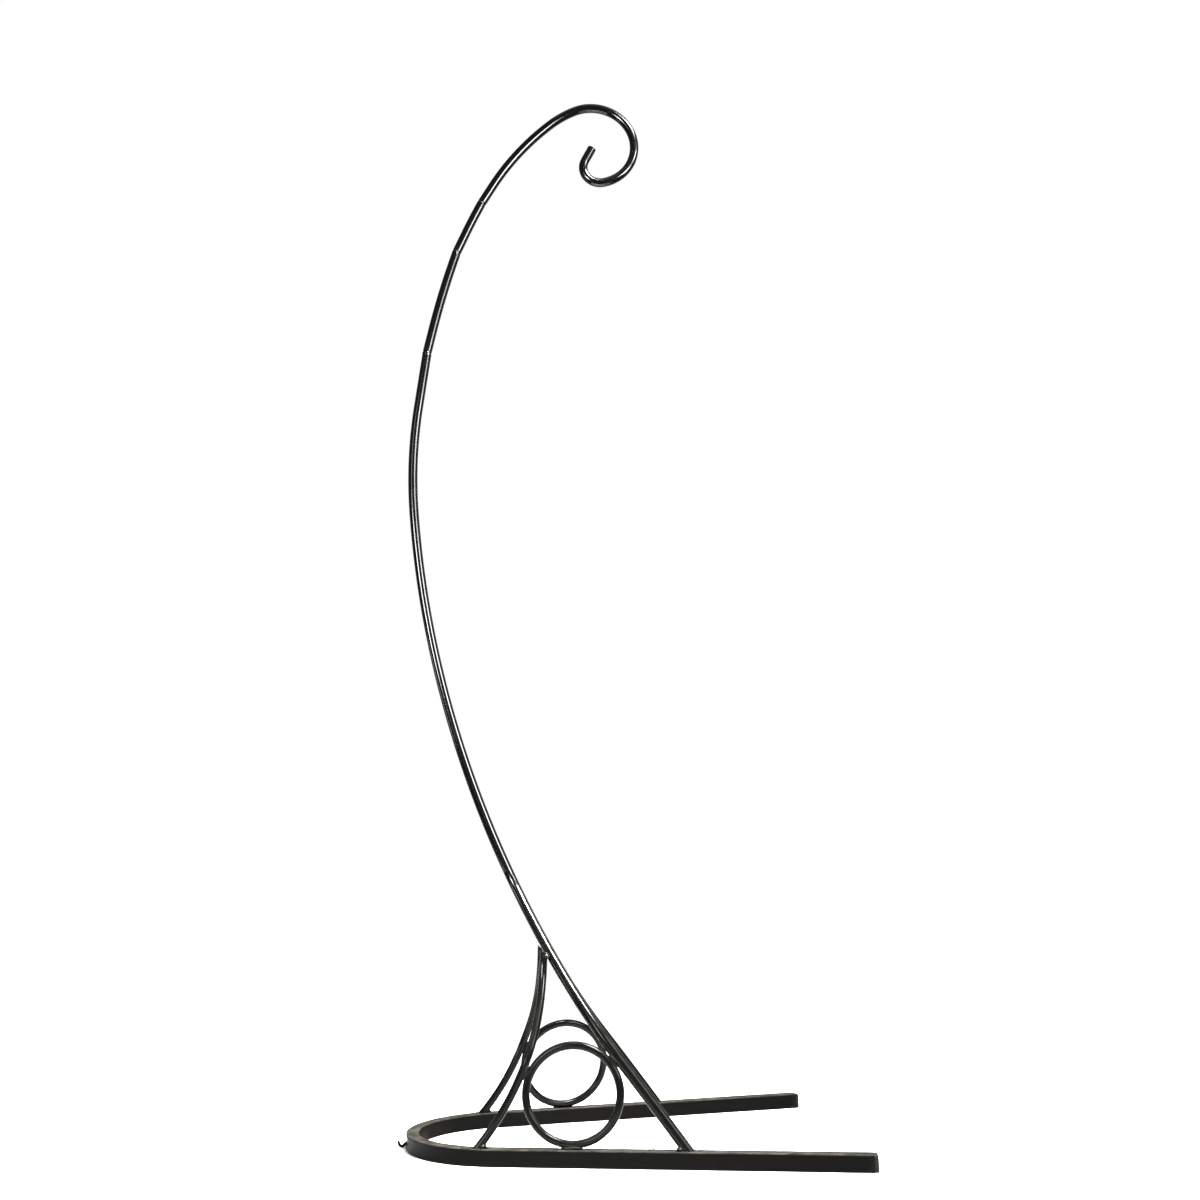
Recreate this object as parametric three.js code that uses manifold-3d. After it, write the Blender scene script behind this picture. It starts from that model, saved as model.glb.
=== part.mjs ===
// Hanging plant stand: a U-shaped base, two rings and four struts carry a bowed mast with a scroll hook.
// Millimetres and degrees, +Z up. The legs open towards +X and the stand is the same on both sides of Y = 0.
import * as THREE from "three";
import { mergeVertices } from "three/addons/utils/BufferGeometryUtils.js";
import Module from "manifold-3d";

const wasm = await Module();
wasm.setup();

// Gap left between two pieces that are welded together or rest on each other.
const GAP = 0.3;

// Base: one square tube bent into a U that lies flat.
const BASE = {
  side: 20,
  wall: 1.5,
  cornerRadius: 2,
  bendRadius: 135,
  splay: 12.2,
  legLength: 455,
  bendDrawnIn: 3.2,
  bendHollow: 2,
};

// Plug in each open end of the base tube.
const CAP = { headLength: 5, headEdge: 1.6, headInset: 0.3, plugLength: 14, plugWall: 2 };

// Small curled tab on the outside of the bend. Its tip leans out from upright.
const TAB = {
  width: 5,
  thickness: 2.8,
  rootHeight: 8,
  rootLength: 2,
  curlRadius: 3.5,
  curlAngle: 120,
  tipLength: 5,
  tipLean: 15,
};

// Rings that stand on the legs and lean inwards.
const RING = { rod: 10, halfWidth: 58.4, halfHeight: 56.6, alongLeg: 99, lean: 8.5 };

// Struts. footReach runs along the leg from the ring's centre to the foot, and touchAngle is where round the ring
// the strut touches it. tuck turns the touch towards the ring's inner side, and the pulls are the lengths of the
// handles that bend the strut.
const RIGHT_STRUT = {
  diameter: 13.5,
  footReach: 139.3,
  touchAngle: 38.2,
  tuck: 4.3,
  inwardSlope: -0.05,
  footPull: 75.3,
  ringPull: 101.4,
  topPull: 60,
};

// A left strut's end lies against the right strut at topHeight, on the tube's left side turned by topTurn away
// from the other leg. The end leans towards +X by topLean for each millimetre up.
const LEFT_STRUT = {
  diameter: 10,
  footReach: -116.6,
  touchAngle: 156.5,
  tuck: -9.3,
  inwardSlope: -0.154,
  footPull: 54,
  ringPull: 40.5,
  topPull: 64.5,
  topHeight: 243.6,
  topTurn: 30,
  topLean: 0.02,
};

// Mast tube, in four pieces that plug together. Its foot is where the two right struts come together, and each
// piece but the hook ends in a narrowed neck. The rounding shares place the middle of a neck's shoulder.
const MAST = { diameter: 13.5, wall: 1.2, footX: -8.99, footZ: 349.98, footHeading: -25.07 };
const NECK = {
  length: 30,
  wall: 1.2,
  shoulder: 4,
  slack: 0.3,
  socketExtra: 2,
  chamfer: 0.5,
  roundingIn: 0.25,
  roundingDown: 0.45,
};
const SOCKET = NECK.length + NECK.socketExtra;

// Bends of each mast piece, from its lower end up, and the straight lengths between and after them.
// kink is the angle between the end of one piece and the neck that holds the next.
const LOWER = { bowLength: 527.6, bowRadius: 1485, bendLength: 162, bendRadius: 746, endLength: 86.5, kink: 4.7 };
const MIDDLE = { bowLength: 135, bowRadius: 1377, kink: 5.4 };
const UPPER = { bowLength: 58, bowRadius: 955, kink: 3.3 };
const HOOK = {
  riseLength: 140,
  riseRadius: 414,
  shoulderLength: 44,
  shoulderRadius: 161,
  crownLength: 156,
  crownRadius: 65,
  sideLength: 60,
  sideRadius: 61,
  curlLength: 56,
  curlRadius: 25,
  tipLength: 24,
};

// Weld beads: half the length of the ones along a ring's foot, a ring's side, a left strut's top and the parting
// of the right struts, half the width of the ones at the struts' feet, and half the height of them all.
const BEAD = { ringFoot: 9, ringSide: 8, top: 6, parting: 8, foot: 6, height: 4 };

// Facets.
const ARC_STEP = 12;
const ARC_SAG = 0.1;
const BEZIER_STEPS = 9;
const TUBE_SIDES = 12;
const ROD_SIDES = 10;
const RING_STEPS = 32;
const SLIVER = 0.03;

const PAINT = { color: 0x11110f, roughness: 0.38, metalness: 0.0 };
const PLASTIC = { color: 0x161615, roughness: 0.6, metalness: 0.0 };

const rad = THREE.MathUtils.degToRad;
const UP = new THREE.Vector3(0, 0, 1);
const LEG_TOP = BASE.side;

const LOWER_RUNS = [
  { length: LOWER.bowLength, radius: LOWER.bowRadius },
  { length: LOWER.bendLength, radius: LOWER.bendRadius },
  { length: LOWER.endLength },
];
const MIDDLE_RUNS = [{ length: SOCKET }, { length: MIDDLE.bowLength, radius: MIDDLE.bowRadius }];
const UPPER_RUNS = [{ length: SOCKET }, { length: UPPER.bowLength, radius: UPPER.bowRadius }];
const HOOK_RUNS = [
  { length: SOCKET },
  { length: HOOK.riseLength, radius: HOOK.riseRadius },
  { length: HOOK.shoulderLength, radius: HOOK.shoulderRadius },
  { length: HOOK.crownLength, radius: HOOK.crownRadius },
  { length: HOOK.sideLength, radius: HOOK.sideRadius },
  { length: HOOK.curlLength, radius: HOOK.curlRadius },
  { length: HOOK.tipLength },
];

// ---------------------------------------------------------------- solids

function solid(geometry) {
  const bare = geometry.clone();
  bare.deleteAttribute("normal");
  bare.deleteAttribute("uv");
  const merged = mergeVertices(bare, 1e-4);
  return new wasm.Manifold(
    new wasm.Mesh({
      numProp: 3,
      vertProperties: merged.attributes.position.array,
      triVerts: new Uint32Array(merged.index.array),
    }),
  );
}

function geometryOf(body) {
  const mesh = body.getMesh();
  const geometry = new THREE.BufferGeometry();
  geometry.setAttribute("position", new THREE.BufferAttribute(new Float32Array(mesh.vertProperties), 3));
  geometry.setIndex(new THREE.BufferAttribute(new Uint32Array(mesh.triVerts), 1));
  geometry.computeVertexNormals();
  return geometry;
}

// The slivers that a cut leaves between nearly matching facets are dropped.
function without(body, cutters) {
  return cutters.reduce((left, cutter) => left.subtract(cutter), body).simplify(SLIVER);
}

// The largest of the bodies that a cut leaves.
function largest(body) {
  return body.decompose().reduce((best, next) => (next.volume() > best.volume() ? next : best));
}

// ---------------------------------------------------------------- outlines and routes

// Steps in an arc, fine enough that its chords stay close to it.
function arcSteps(angle, radius) {
  const step = Math.min(rad(ARC_STEP), 2 * Math.acos(1 - ARC_SAG / radius));
  return Math.max(1, Math.ceil(angle / step));
}

function circleOutline(radius, sides) {
  const points = [];
  for (let i = 0; i < sides; i += 1) {
    const angle = (2 * Math.PI * i) / sides;
    points.push(new THREE.Vector2(radius * Math.cos(angle), radius * Math.sin(angle)));
  }
  return points;
}

// A square with rounded corners and a point in the middle of each side.
function squareOutline(side, corner) {
  const points = [];
  const inset = side / 2 - corner;
  for (let quarter = 0; quarter < 4; quarter += 1) {
    const start = (quarter * Math.PI) / 2;
    const centre = new THREE.Vector2(inset, inset).rotateAround(new THREE.Vector2(), start);
    for (let step = 0; step <= 2; step += 1) {
      const angle = start + (step * Math.PI) / 4;
      points.push(new THREE.Vector2(Math.cos(angle), Math.sin(angle)).multiplyScalar(corner).add(centre));
    }
    points.push(new THREE.Vector2(0, side / 2).rotateAround(new THREE.Vector2(), start));
  }
  return points;
}

function hollowShape(outer, inner) {
  const shape = new THREE.Shape(outer);
  shape.holes.push(new THREE.Path(inner));
  return shape;
}

// The middle line of a tube, given as stations with their directions.
class Route extends THREE.Curve {
  constructor(points, tangents) {
    super();
    this.points = points;
    this.tangents = tangents;
  }

  getPointAt(share) {
    return this.points[Math.round(share * (this.points.length - 1))].clone();
  }

  getTangentAt(share) {
    return this.tangents[Math.round(share * (this.points.length - 1))].clone();
  }
}

function sweep(route, shape) {
  const steps = route.points.length - 1;
  return new THREE.ExtrudeGeometry(shape, { steps, extrudePath: route, bevelEnabled: false });
}

function roundSweep(route, radius, sides) {
  return solid(sweep(route, new THREE.Shape(circleOutline(radius, sides))));
}

// The direction in the plane Y = 0 at an angle from +Z towards +X.
function direction(angle) {
  return new THREE.Vector3(Math.sin(angle), 0, Math.cos(angle));
}

// Follows straight and bent runs in the plane Y = 0, starting at a heading.
function followRuns(start, heading, runs) {
  const points = [new THREE.Vector3(start.x, 0, start.z)];
  let angle = rad(heading);
  const tangents = [direction(angle)];
  for (const run of runs) {
    const turn = run.radius ? run.length / run.radius : 0;
    const steps = run.radius ? arcSteps(turn, run.radius) : 1;
    const chord = run.radius ? 2 * run.radius * Math.sin(turn / steps / 2) : run.length;
    for (let i = 0; i < steps; i += 1) {
      const middle = angle + turn / steps / 2;
      points.push(points.at(-1).clone().addScaledVector(direction(middle), chord));
      angle += turn / steps;
      tangents.push(direction(angle));
    }
  }
  return { route: new Route(points, tangents), end: points.at(-1), heading: THREE.MathUtils.radToDeg(angle) };
}

// The same runs with the last one cut short.
function shortened(runs, cut) {
  const last = runs.at(-1);
  return [...runs.slice(0, -1), { ...last, length: last.length - cut }];
}

// Where a measure of the points first passes a value on the way along a route, and the route's direction there.
function crossing(route, measure, value) {
  const index = route.points.findIndex((point) => measure(point) > value);
  const from = route.points[index - 1];
  const to = route.points[index];
  const share = (value - measure(from)) / (measure(to) - measure(from));
  return { point: from.clone().lerp(to, share), direction: to.clone().sub(from).normalize() };
}

// ---------------------------------------------------------------- base

const splay = rad(BASE.splay);

// A leg's own directions: along it from the bend, and square to it towards the other leg.
function legFrame(side) {
  return {
    side,
    start: new THREE.Vector3(-Math.sin(splay), side * Math.cos(splay), 0).multiplyScalar(BASE.bendRadius),
    along: new THREE.Vector3(Math.cos(splay), side * Math.sin(splay), 0),
    inward: new THREE.Vector3(Math.sin(splay), -side * Math.cos(splay), 0),
  };
}

function baseRoute(front, back) {
  const height = new THREE.Vector3(0, 0, BASE.side / 2);
  const legEnd = (leg) => leg.start.clone().addScaledVector(leg.along, BASE.legLength).add(height);
  const points = [legEnd(front)];
  const tangents = [front.along.clone().negate()];
  const half = Math.PI / 2 - splay;
  const steps = 2 * arcSteps(half, BASE.bendRadius + BASE.side / 2);
  for (let i = 0; i <= steps; i += 1) {
    const angle = Math.PI + half - (2 * half * i) / steps;
    points.push(new THREE.Vector3(Math.cos(angle), Math.sin(angle), 0).multiplyScalar(BASE.bendRadius).add(height));
    tangents.push(new THREE.Vector3(Math.sin(angle), -Math.cos(angle), 0));
  }
  points.push(legEnd(back));
  tangents.push(back.along.clone());
  return new Route(points, tangents);
}

// Draws in the bend's outer wall, most at the middle of the bend and at half height, as a bent tube's wall goes.
function dishBend(geometry) {
  const position = geometry.getAttribute("position");
  const half = Math.PI / 2 - splay;
  for (let i = 0; i < position.count; i += 1) {
    const x = position.getX(i);
    const y = position.getY(i);
    const outside = Math.hypot(x, y) - BASE.bendRadius;
    const angle = Math.atan2(Math.abs(y), -x);
    if (outside > 0 && angle < half) {
      const share = Math.cos(((angle / half) * Math.PI) / 2);
      const fromMiddle = (2 * position.getZ(i)) / BASE.side - 1;
      const wallShare = outside / (BASE.side / 2);
      const pull = BASE.bendDrawnIn + BASE.bendHollow * (1 - fromMiddle * fromMiddle);
      const scale = 1 - (pull * wallShare * share) / Math.hypot(x, y);
      position.setX(i, x * scale);
      position.setY(i, y * scale);
    }
  }
  return geometry;
}

function baseTube(front, back) {
  const inner = squareOutline(BASE.side - 2 * BASE.wall, BASE.cornerRadius - BASE.wall / 2);
  const shape = hollowShape(squareOutline(BASE.side, BASE.cornerRadius), inner);
  return solid(dishBend(sweep(baseRoute(front, back), shape)));
}

// A cap's head closes the tube's end and its hollow plug sits inside the bore.
function endCap() {
  const rounded = CAP.headEdge;
  const headSide = BASE.side - 2 * CAP.headInset;
  const headOutline = squareOutline(headSide - 2 * rounded, BASE.cornerRadius - rounded / 2);
  const head = new THREE.ExtrudeGeometry(new THREE.Shape(headOutline), {
    depth: CAP.headLength - 2 * rounded,
    bevelThickness: rounded,
    bevelSize: rounded,
    bevelSegments: 2,
  });
  head.translate(0, 0, GAP + rounded);
  const plugSide = BASE.side - 2 * BASE.wall - 2 * GAP;
  const plugShape = hollowShape(
    squareOutline(plugSide, BASE.cornerRadius - BASE.wall / 2),
    squareOutline(plugSide - 2 * CAP.plugWall, BASE.cornerRadius - BASE.wall / 2),
  );
  const plug = new THREE.ExtrudeGeometry(plugShape, { depth: CAP.plugLength + GAP + rounded, bevelEnabled: false });
  plug.translate(0, 0, -CAP.plugLength);
  return solid(head).add(solid(plug));
}

// Puts a cap at the end of a leg, with its own +Z along the leg.
function placeCap(mesh, leg) {
  const end = leg.start.clone().addScaledVector(leg.along, BASE.legLength);
  mesh.position.set(end.x, end.y, BASE.side / 2);
  mesh.rotation.set(0, Math.PI / 2, 0);
  mesh.rotation.order = "ZYX";
  mesh.rotation.z = leg.side * splay;
  return mesh;
}

function bendTab() {
  const root = { x: -BASE.bendRadius - BASE.side / 2 + BASE.bendDrawnIn - GAP - TAB.thickness / 2, z: TAB.rootHeight };
  const runs = [
    { length: TAB.rootLength },
    { length: TAB.curlRadius * rad(TAB.curlAngle), radius: TAB.curlRadius },
    { length: TAB.tipLength },
  ];
  const heading = -TAB.tipLean - TAB.curlAngle;
  const outline = [
    new THREE.Vector2(-TAB.width / 2, -TAB.thickness / 2),
    new THREE.Vector2(TAB.width / 2, -TAB.thickness / 2),
    new THREE.Vector2(TAB.width / 2, TAB.thickness / 2),
    new THREE.Vector2(-TAB.width / 2, TAB.thickness / 2),
  ];
  return solid(sweep(followRuns(root, heading, runs).route, new THREE.Shape(outline)));
}

// ---------------------------------------------------------------- rings

const lean = rad(RING.lean);

// The plane that a ring and the lower struts stand in: it rises from the leg and leans inwards.
function ringPlane(leg) {
  const rise = UP.clone().multiplyScalar(Math.cos(lean)).addScaledVector(leg.inward, Math.sin(lean));
  const across = leg.inward.clone().multiplyScalar(Math.cos(lean)).addScaledVector(UP, -Math.sin(lean));
  const foot = leg.start.clone().addScaledVector(leg.along, RING.alongLeg);
  foot.z = LEG_TOP + GAP + RING.rod / 2;
  const centre = foot.clone().addScaledVector(rise, RING.halfHeight);
  return { along: leg.along, rise, across, foot, centre };
}

function ringSolid(plane, extra = 0) {
  const geometry = new THREE.TorusGeometry(RING.halfWidth, RING.rod / 2 + extra, ROD_SIDES, RING_STEPS);
  geometry.scale(1, RING.halfHeight / RING.halfWidth, 1);
  const matrix = new THREE.Matrix4();
  matrix.makeBasis(plane.along, plane.rise, plane.along.clone().cross(plane.rise));
  geometry.applyMatrix4(matrix.setPosition(plane.centre));
  return solid(geometry);
}

// ---------------------------------------------------------------- mast

// The point that lies a gap further on, at a heading.
function gapAfter(end, heading) {
  return new THREE.Vector3(end.x, 0, end.z).addScaledVector(direction(rad(heading)), GAP);
}

const mastFoot = new THREE.Vector3(MAST.footX, 0, MAST.footZ);
const lower = followRuns(mastFoot, MAST.footHeading, LOWER_RUNS);
const middleHeading = lower.heading + LOWER.kink;
const middle = followRuns(lower.end, middleHeading, MIDDLE_RUNS);
const upperHeading = middle.heading + MIDDLE.kink;
const upper = followRuns(middle.end, upperHeading, UPPER_RUNS);
const hookHeading = upper.heading + UPPER.kink;

const boreRadius = MAST.diameter / 2 - MAST.wall;
const neckRadius = boreRadius - NECK.slack;

function tubeSolid(start, heading, runs) {
  const shape = hollowShape(circleOutline(MAST.diameter / 2, TUBE_SIDES), circleOutline(boreRadius, TUBE_SIDES));
  return solid(sweep(followRuns(start, heading, runs).route, shape));
}

// A neck with its rounded shoulder, standing on the end of one piece and pointing along the next.
function neckSolid(end, heading) {
  const wide = MAST.diameter / 2;
  const seat = NECK.shoulder;
  const profile = [
    new THREE.Vector2(neckRadius - NECK.wall, -2 * seat),
    new THREE.Vector2(wide, -2 * seat),
    new THREE.Vector2(wide, -seat),
    new THREE.Vector2(wide - (wide - neckRadius) * NECK.roundingIn, -seat * NECK.roundingDown),
    new THREE.Vector2(neckRadius, 0),
    new THREE.Vector2(neckRadius, NECK.length - NECK.chamfer),
    new THREE.Vector2(neckRadius - NECK.chamfer, NECK.length),
    new THREE.Vector2(neckRadius - NECK.wall, NECK.length),
    new THREE.Vector2(neckRadius - NECK.wall, -2 * seat),
  ];
  const geometry = new THREE.LatheGeometry(profile, TUBE_SIDES);
  geometry.rotateX(Math.PI / 2);
  geometry.rotateY(rad(heading));
  geometry.translate(end.x, end.y, end.z);
  return solid(geometry);
}

// A tube piece that starts a gap above the shoulder below it and carries a neck for the next piece.
function plugPiece(start, heading, runs, next) {
  const body = tubeSolid(start, heading, shortened(runs, NECK.shoulder));
  return body.add(neckSolid(next.start, next.heading));
}

// ---------------------------------------------------------------- struts

// A right strut runs into the mast's foot along the mast's own direction.
function rightTop() {
  return { point: mastFoot, direction: direction(rad(MAST.footHeading)) };
}

// A left strut's end lies against its leg's right strut, a gap away from it.
function leftTop(leg, rightRoute) {
  const tube = crossing(rightRoute, (point) => point.z, LEFT_STRUT.topHeight);
  const left = new THREE.Vector3(-1, 0, 0).projectOnPlane(tube.direction).normalize();
  const outside = left.clone().cross(tube.direction).multiplyScalar(leg.side);
  const turn = rad(LEFT_STRUT.topTurn);
  const reach = RIGHT_STRUT.diameter / 2 + LEFT_STRUT.diameter / 2 + GAP;
  return {
    point: tube.point
      .clone()
      .addScaledVector(left, reach * Math.cos(turn))
      .addScaledVector(outside, reach * Math.sin(turn)),
    direction: new THREE.Vector3(LEFT_STRUT.topLean, 0, 1).normalize(),
    tubePoint: tube.point,
  };
}

// The middle line of a strut, from inside the leg past its ring to its top.
function strutRoute(plane, strut, top) {
  const touch = rad(strut.touchAngle);
  const normal = new THREE.Vector2(Math.cos(touch) / RING.halfWidth, Math.sin(touch) / RING.halfHeight).normalize();
  const reach = RING.rod / 2 + strut.diameter / 2 + GAP;
  const inPlane = reach * Math.cos(rad(strut.tuck));
  const ringPoint = plane.centre
    .clone()
    .addScaledVector(plane.along, RING.halfWidth * Math.cos(touch) + normal.x * inPlane)
    .addScaledVector(plane.rise, RING.halfHeight * Math.sin(touch) + normal.y * inPlane)
    .addScaledVector(plane.across, reach * Math.sin(rad(strut.tuck)));
  const ringDirection = plane.along
    .clone()
    .multiplyScalar(-normal.y * Math.sign(normal.x))
    .addScaledVector(plane.rise, Math.abs(normal.x))
    .addScaledVector(plane.across, strut.inwardSlope)
    .normalize();
  const foot = plane.foot.clone().addScaledVector(plane.along, strut.footReach);
  foot.z = LEG_TOP;
  const footHandle = ringPoint.clone().addScaledVector(ringDirection, -strut.footPull);
  const footDirection = footHandle.clone().sub(foot).normalize();
  const rising = new THREE.CubicBezierCurve3(
    ringPoint,
    ringPoint.clone().addScaledVector(ringDirection, strut.ringPull),
    top.point.clone().addScaledVector(top.direction, -strut.topPull),
    top.point,
  );
  const standing = new THREE.QuadraticBezierCurve3(foot, footHandle, ringPoint);
  const points = [foot.clone().addScaledVector(footDirection, -strut.diameter)];
  const tangents = [footDirection];
  for (const [curve, steps] of [[standing, BEZIER_STEPS], [rising, 2 * BEZIER_STEPS]]) {
    for (let i = points.length > 1 ? 1 : 0; i <= steps; i += 1) {
      points.push(curve.getPoint(i / steps));
      tangents.push(curve.getTangent(i / steps));
    }
  }
  return { route: new Route(points, tangents), foot, ringPoint, ringDirection, top };
}

// A strut with its foot cut flat on the leg, cut back from the pieces that it is welded to.
function strutSolid(path, strut, cutters) {
  return largest(without(roundSweep(path.route, strut.diameter / 2, strutSides(strut)), cutters));
}

// The same strut grown by the gap, to cut what is welded to it.
function grownStrut(path, strut) {
  return roundSweep(path.route, strut.diameter / 2 + GAP, strutSides(strut));
}

function strutSides(strut) {
  return strut.diameter > RING.rod ? TUBE_SIDES : ROD_SIDES;
}

// ---------------------------------------------------------------- weld beads

// An ellipsoid bead with its long half-width along the given direction, cut back from the pieces it joins.
function bead(centre, halfWidths, direction, cutters) {
  const geometry = new THREE.SphereGeometry(1, 8, 6);
  geometry.scale(halfWidths.along, halfWidths.across, halfWidths.across);
  const turn = new THREE.Quaternion().setFromUnitVectors(new THREE.Vector3(1, 0, 0), direction);
  geometry.applyQuaternion(turn);
  geometry.translate(centre.x, centre.y, centre.z);
  return largest(without(solid(geometry), cutters));
}

// The bead at a strut's foot lies on the side that faces the ring.
function footBead(path, plane, strut, cutters) {
  const towardsRing = (-Math.sign(strut.footReach) * strut.diameter) / 2;
  const centre = path.foot.clone().addScaledVector(plane.along, towardsRing);
  return bead(centre, { along: BEAD.height, across: BEAD.foot }, UP, cutters);
}

// The bead under a ring lies along the leg, on the side that faces away from the other leg.
function ringFootBead(plane, cutters) {
  const centre = plane.foot.clone().addScaledVector(plane.across, -BEAD.height / 2);
  centre.z = LEG_TOP + GAP;
  return bead(centre, { along: BEAD.ringFoot, across: BEAD.height }, plane.along, cutters);
}

// A bead in the notch between two rods, half way from one to the other and out towards the leg's outer side.
function notchBead(from, to, halfLength, plane, along, cutters) {
  const notch = from.clone().add(to).divideScalar(2).addScaledVector(plane.across, -BEAD.height / 2);
  return bead(notch, { along: halfLength, across: BEAD.height }, along, cutters);
}

function ringSideBead(path, plane, cutters) {
  const ringPoint = nearestOnRing(plane, path.ringPoint);
  return notchBead(path.ringPoint, ringPoint, BEAD.ringSide, plane, path.ringDirection, cutters);
}

function leftTopBead(path, plane, cutters) {
  const { point, tubePoint } = path.top;
  return notchBead(point, tubePoint, BEAD.top, plane, path.top.direction, cutters);
}

// The bead in the fork where the two right struts part below the mast.
function partingBead(rightRoute, cutters) {
  const apart = RIGHT_STRUT.diameter / 2 + BEAD.height / 4;
  const fork = crossing(rightRoute, (point) => -Math.abs(point.y), -apart);
  const centre = new THREE.Vector3(fork.point.x, 0, fork.point.z);
  const along = new THREE.Vector3(fork.direction.x, 0, fork.direction.z).normalize();
  return bead(centre, { along: BEAD.parting, across: BEAD.height }, along, cutters);
}

function nearestOnRing(plane, point) {
  let nearest = null;
  for (let i = 0; i < 360; i += 1) {
    const candidate = plane.centre
      .clone()
      .addScaledVector(plane.along, RING.halfWidth * Math.cos(rad(i)))
      .addScaledVector(plane.rise, RING.halfHeight * Math.sin(rad(i)));
    if (!nearest || candidate.distanceTo(point) < nearest.distanceTo(point)) nearest = candidate;
  }
  return nearest;
}

// ---------------------------------------------------------------- assembly

const stand = new THREE.Group();

function addPiece(name, body, finish = PAINT) {
  const mesh = new THREE.Mesh(geometryOf(body), new THREE.MeshStandardMaterial(finish));
  mesh.name = name;
  stand.add(mesh);
  return mesh;
}

// A block that reaches from one corner to another.
function block(low, high) {
  const size = new THREE.Vector3().subVectors(high, low);
  const geometry = new THREE.BoxGeometry(size.x, size.y, size.z);
  const centre = new THREE.Vector3().addVectors(low, high).multiplyScalar(0.5);
  geometry.translate(centre.x, centre.y, centre.z);
  return solid(geometry);
}

const front = legFrame(-1);
const back = legFrame(1);
const far = 2 * (BASE.legLength + BASE.bendRadius);
const legsBlock = block(new THREE.Vector3(-far, -far, -far), new THREE.Vector3(far, far, LEG_TOP + GAP));

// Keeps what belongs to one leg on its own side of the middle.
function otherHalf(leg) {
  const low = leg.side < 0 ? -GAP / 2 : -far;
  const high = leg.side < 0 ? far : GAP / 2;
  return block(new THREE.Vector3(-far, low, -far), new THREE.Vector3(far, high, far));
}

const grownMast = roundSweep(lower.route, MAST.diameter / 2 + GAP, TUBE_SIDES);
const grownRights = [];

addPiece("base_tube", baseTube(front, back));
placeCap(addPiece("end_cap_front", endCap(), PLASTIC), front);
placeCap(addPiece("end_cap_back", endCap(), PLASTIC), back);
addPiece("bend_tab", bendTab());

for (const [leg, end] of [[front, "front"], [back, "back"]]) {
  const plane = ringPlane(leg);
  const half = otherHalf(leg);
  const grownRing = ringSolid(plane, GAP);
  const right = strutRoute(plane, RIGHT_STRUT, rightTop());
  const left = strutRoute(plane, LEFT_STRUT, leftTop(leg, right.route));
  const grownRight = grownStrut(right, RIGHT_STRUT);
  const grownLeft = grownStrut(left, LEFT_STRUT);
  grownRights.push(grownRight);
  addPiece(`ring_${end}`, ringSolid(plane));
  addPiece(`weld_ring_foot_${end}`, ringFootBead(plane, [legsBlock, grownRing]));
  addPiece(`right_strut_${end}`, strutSolid(right, RIGHT_STRUT, [legsBlock, grownRing, half]));
  addPiece(`weld_right_foot_${end}`, footBead(right, plane, RIGHT_STRUT, [legsBlock, grownRight]));
  addPiece(`weld_right_ring_${end}`, ringSideBead(right, plane, [grownRing, grownRight]));
  addPiece(`left_strut_${end}`, strutSolid(left, LEFT_STRUT, [legsBlock, grownRing, grownRight]));
  addPiece(`weld_left_foot_${end}`, footBead(left, plane, LEFT_STRUT, [legsBlock, grownLeft]));
  addPiece(`weld_left_ring_${end}`, ringSideBead(left, plane, [grownRing, grownLeft]));
  addPiece(`weld_left_top_${end}`, leftTopBead(left, plane, [grownLeft, grownRight]));
}

// Both legs' right struts have the same route but for its side, so the front one's gives the fork.
const frontRight = strutRoute(ringPlane(front), RIGHT_STRUT, rightTop());
addPiece("weld_right_top", partingBead(frontRight.route, [grownMast, ...grownRights]));

const seamAfter = (piece, heading) => ({ start: piece.end, heading });
const lowerStart = gapAfter(mastFoot, MAST.footHeading);
addPiece("mast_lower", plugPiece(lowerStart, MAST.footHeading, LOWER_RUNS, seamAfter(lower, middleHeading)));
const middleStart = gapAfter(lower.end, middleHeading);
addPiece("mast_middle", plugPiece(middleStart, middleHeading, MIDDLE_RUNS, seamAfter(middle, upperHeading)));
const upperStart = gapAfter(middle.end, upperHeading);
addPiece("mast_upper", plugPiece(upperStart, upperHeading, UPPER_RUNS, seamAfter(upper, hookHeading)));
addPiece("hook_section", tubeSolid(gapAfter(upper.end, hookHeading), hookHeading, HOOK_RUNS));

// The origin is on the floor, under the middle of the stand.
const bounds = new THREE.Box3().setFromObject(stand, true);
const centre = bounds.getCenter(new THREE.Vector3());
stand.position.set(-centre.x, -centre.y, 0);

export default stand;
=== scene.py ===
"""Hanging plant stand in black paint: a U-shaped base, rings, struts and a bowed mast with a scroll hook.

Builds the finished pieces round the loaded frame. Metres, +Z up, legs open towards +X.
"""

import math
import random

import bmesh
import bpy
from bpy.props import FloatProperty, FloatVectorProperty, PointerProperty
from mathutils import Matrix, Vector, noise


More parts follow.
